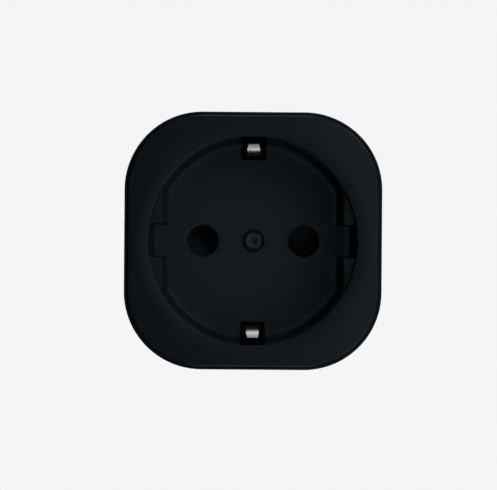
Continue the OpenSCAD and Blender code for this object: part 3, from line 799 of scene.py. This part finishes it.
MATERIALS = {
    # Seen from outside: black plastics, screw, clips and pins.
    # Painted light: the cover's recess is coloured 1.5 times lighter than its front.
    "cover_plastic": moulded(
        "cover_plastic", BLACK, 0.42, specular=0.25, tint=BLACK_TINT,
        deep=lighter(1.5), polish=0.21),
    "housing_plastic": moulded("housing_plastic", BLACK, 0.42, specular=0.25, tint=BLACK_TINT),
    "button_plastic": moulded("button_plastic", BLACK, 0.38, specular=0.3, tint=BLACK_TINT),
    "shutter_plastic": moulded(
        "shutter_plastic", lighter(1.6), 0.42, specular=0.2, tint=BLACK_TINT),
    "blackened_steel": moulded(
        "blackened_steel", lighter(2.2), 0.34, 14000, 0.000004, 0.6, BLACK_TINT, 0.3),
    "nickel_plate": metal("nickel_plate", (0.72, 0.70, 0.66), 0.16, (1, 0.12, 1)),
    "pin_nickel": metal("pin_nickel", (0.72, 0.71, 0.69), 0.14, (0.1, 1, 0.1)),
    "clear_plastic": moulded("clear_plastic", (0.55, 0.62, 0.66), 0.22, 6000, 0.000003, wear=0.0),
    # Inside: contacts, spring, strips and their carrier.
    "spring_steel": metal("spring_steel", (0.45, 0.45, 0.46), 0.22),
    "contact_brass": metal("contact_brass", (0.72, 0.50, 0.22), 0.22, (1, 0.15, 1)),
    "shunt_alloy": metal("shunt_alloy", (0.50, 0.36, 0.24), 0.30, (0.2, 1, 1)),
    "shield_tin": metal("shield_tin", (0.62, 0.62, 0.61), 0.24, (0.2, 1, 1)),
    "copper_trace": metal("copper_trace", (0.80, 0.55, 0.22), 0.25),
    "carrier_plastic": moulded("carrier_plastic", (0.050, 0.058, 0.062), 0.55, wear=0.0),
    # On the board.
    "circuit_board": moulded("circuit_board", (0.012, 0.105, 0.045), 0.25, 2500, 0.00001, wear=0.0),
    "radio_laminate": moulded("radio_laminate", (0.008, 0.022, 0.075), 0.25, 2500, 0.00001, wear=0.0),
    "relay_case": moulded("relay_case", (0.015, 0.015, 0.017), 0.28, wear=0.1),
    "capacitor_sleeve": moulded("capacitor_sleeve", (0.015, 0.035, 0.15), 0.22, 1500, 0.00001, wear=0.1),
    "ferrite": moulded("ferrite", (0.025, 0.025, 0.027), 0.5, 5000, 0.00002, wear=0.1),
    "film_capacitor": moulded("film_capacitor", (0.68, 0.43, 0.04), 0.3, wear=0.0),
    "varistor_coat": moulded("varistor_coat", (0.02, 0.10, 0.32), 0.25, 900, 0.00003, wear=0.0),
    "fuse_case": moulded("fuse_case", (0.02, 0.02, 0.021), 0.35, wear=0.1),
    "chip_case": moulded("chip_case", (0.018, 0.018, 0.020), 0.5, wear=0.1),
    "switch_case": moulded("switch_case", (0.02, 0.02, 0.022), 0.45, wear=0.1),
    "switch_stem": moulded("switch_stem", (0.58, 0.54, 0.46), 0.4, wear=0.0),
    "led_package": moulded("led_package", (0.78, 0.76, 0.64), 0.35, wear=0.0),
}


def coat(obj, slot):
    """Gives a piece its slot's material and no other."""
    obj.data.materials.clear()
    obj.data.materials.append(MATERIALS[slot])


def finish_piece(obj, body, slot, *replaced):
    """Coats a built piece, rides it on its body and puts it in place of the CAD nodes."""
    coat(obj, slot)
    even = obj.modifiers.new("even_normals", "WEIGHTED_NORMAL")
    even.keep_sharp = True
    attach(obj, body)
    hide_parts(*replaced)


finish_piece(cover, "housing", "cover_plastic", "front_cover")
finish_piece(housing, "housing", "housing_plastic", "rear_housing")
finish_piece(screw, "housing", "blackened_steel", "centre_screw")
finish_piece(clip_top, "housing", "nickel_plate", "earth_strip_top")
finish_piece(clip_bottom, "housing", "nickel_plate", "earth_strip_bottom")
finish_piece(pin_left, "housing", "pin_nickel", "plug_pin_left")
finish_piece(pin_right, "housing", "pin_nickel", "plug_pin_right")
finish_piece(button, "button", "button_plastic", "power_button")
finish_piece(light_guide, "housing", "clear_plastic", "light_guide")
finish_piece(shutter, "shutter", "shutter_plastic", "shutter")

slot_of = {s["node"]: s["material_slot"] for s in frame["record"]["subparts"]}
for cad_name, obj in frame["nodes"].items():
    coat(obj, slot_of[cad_name])


# ---------------------------------------------------------------- stage, light and camera

PALE = 0.913
ROOM = 0.010


def make_world():
    """Faint even room light, and the floor's pale tone wherever the camera looks past the floor."""
    world = bpy.data.worlds.new("studio")
    bpy.context.scene.world = world
    world.use_nodes = True
    tree = world.node_tree
    back = tree.nodes["Background"]
    back.inputs["Color"].default_value = (ROOM, ROOM, ROOM, 1)
    seen = node(tree, "ShaderNodeBackground")
    seen.inputs["Color"].default_value = (PALE, PALE, PALE, 1)
    path = node(tree, "ShaderNodeLightPath")
    mix = node(tree, "ShaderNodeMixShader")
    tree.links.new(path.outputs["Is Camera Ray"], mix.inputs[0])
    tree.links.new(back.outputs[0], mix.inputs[1])
    tree.links.new(seen.outputs[0], mix.inputs[2])
    tree.links.new(mix.outputs[0], tree.nodes["World Output"].inputs["Surface"])


def make_floor():
    """Plain pale light table: seen by the camera only, so that the lamps below it shine through."""
    bm = bmesh.new()
    reach, gap = 3.0, 0.0002
    z = HOUSE_LO.z * MM - gap
    bm.faces.new([
        bm.verts.new((sx * reach, sy * reach, z)) for sx, sy in ((-1, -1), (1, -1), (1, 1), (-1, 1))])
    floor = mesh_object("floor", bm)
    mat, tree, bsdf = new_material("floor_pale")
    glow = node(tree, "ShaderNodeEmission", Color=(PALE, PALE, PALE, 1))
    tree.links.new(glow.outputs[0], tree.nodes["Material Output"].inputs["Surface"])
    tree.nodes.remove(bsdf)
    floor.data.materials.append(mat)
    floor.visible_diffuse = False
    floor.visible_glossy = False
    floor.visible_transmission = False
    floor.visible_shadow = False


def area_light(name, place_at, aim, size, power):
    """White square lamp, turned towards a point and not seen by the camera."""
    data = bpy.data.lights.new(name, "AREA")
    data.shape = "RECTANGLE"
    data.size = data.size_y = size
    data.energy = power
    obj = bpy.data.objects.new(name, data)
    bpy.context.scene.collection.objects.link(obj)
    obj.location = place_at
    obj.rotation_mode = "QUATERNION"
    obj.rotation_quaternion = (aim - place_at).to_track_quat("-Z", "Y")
    obj.visible_camera = False


LAMP_SPREAD = 0.38  # a lamp's side, as a share of its distance


def make_lights():
    """Soft lamps round the front, each by its angle off the front axis and its angle round it."""
    front = Vector((0, Y_FRONT * MM, 0))
    close, near, far = 0.10, 0.18, 0.50
    for name, polar, azimuth, distance, power in (
        ("axis", 2, 214, close, 0.0020),
        ("right_high", 40, 45, close, 0.0095),
        ("right_low", 40, 315, close, 0.0081),
        ("right", 40, 0, close, 0.0037),
        ("high", 40, 90, close, 0.0007),
        ("low", 40, 270, close, 0.0003),
        ("corner_high", 60, 45, close, 0.0050),
        ("corner_low", 60, 315, close, 0.0035),
        ("left_far", 28, 180, far, 0.004),
        ("above", 66, 90, near, 0.0085),
        ("above_graze", 84, 90, near, 0.0216),
        ("below", 66, 270, near, 0.0055),
        ("below_graze", 84, 270, near, 0.0190),
        ("rear_high", 130, 60, far, 2.2),
        ("rear_side", 125, 150, far, 2.4),
    ):
        a, b = math.radians(polar), math.radians(azimuth)
        way = Vector((math.sin(a) * math.cos(b), -math.cos(a), math.sin(a) * math.sin(b)))
        area_light(name, front + way * distance, front, LAMP_SPREAD * distance, power)


def make_camera():
    """Long lens, dead straight on the front, at the photograph's distance and slight tilt."""
    distance = 1.25
    view_width = 0.0925
    tilt = math.radians(0.45)
    aim_x, aim_z = -0.00084, -0.00078
    data = bpy.data.cameras.new("camera")
    data.sensor_width = 36.0
    data.lens = data.sensor_width * distance / view_width
    data.clip_start, data.clip_end = 0.01, 50
    cam = bpy.data.objects.new("camera", data)
    bpy.context.scene.collection.objects.link(cam)
    place_at = Matrix.Translation(Vector((aim_x, Y_FRONT * MM - distance, aim_z)))
    cam.matrix_world = place_at @ Matrix.Rotation(math.pi / 2, 4, "X") @ Matrix.Rotation(tilt, 4, "Z")
    bpy.context.scene.camera = cam


make_world()
make_floor()
make_lights()
make_camera()
bpy.context.scene.view_settings.view_transform = "Standard"
bpy.context.scene.view_settings.look = "None"
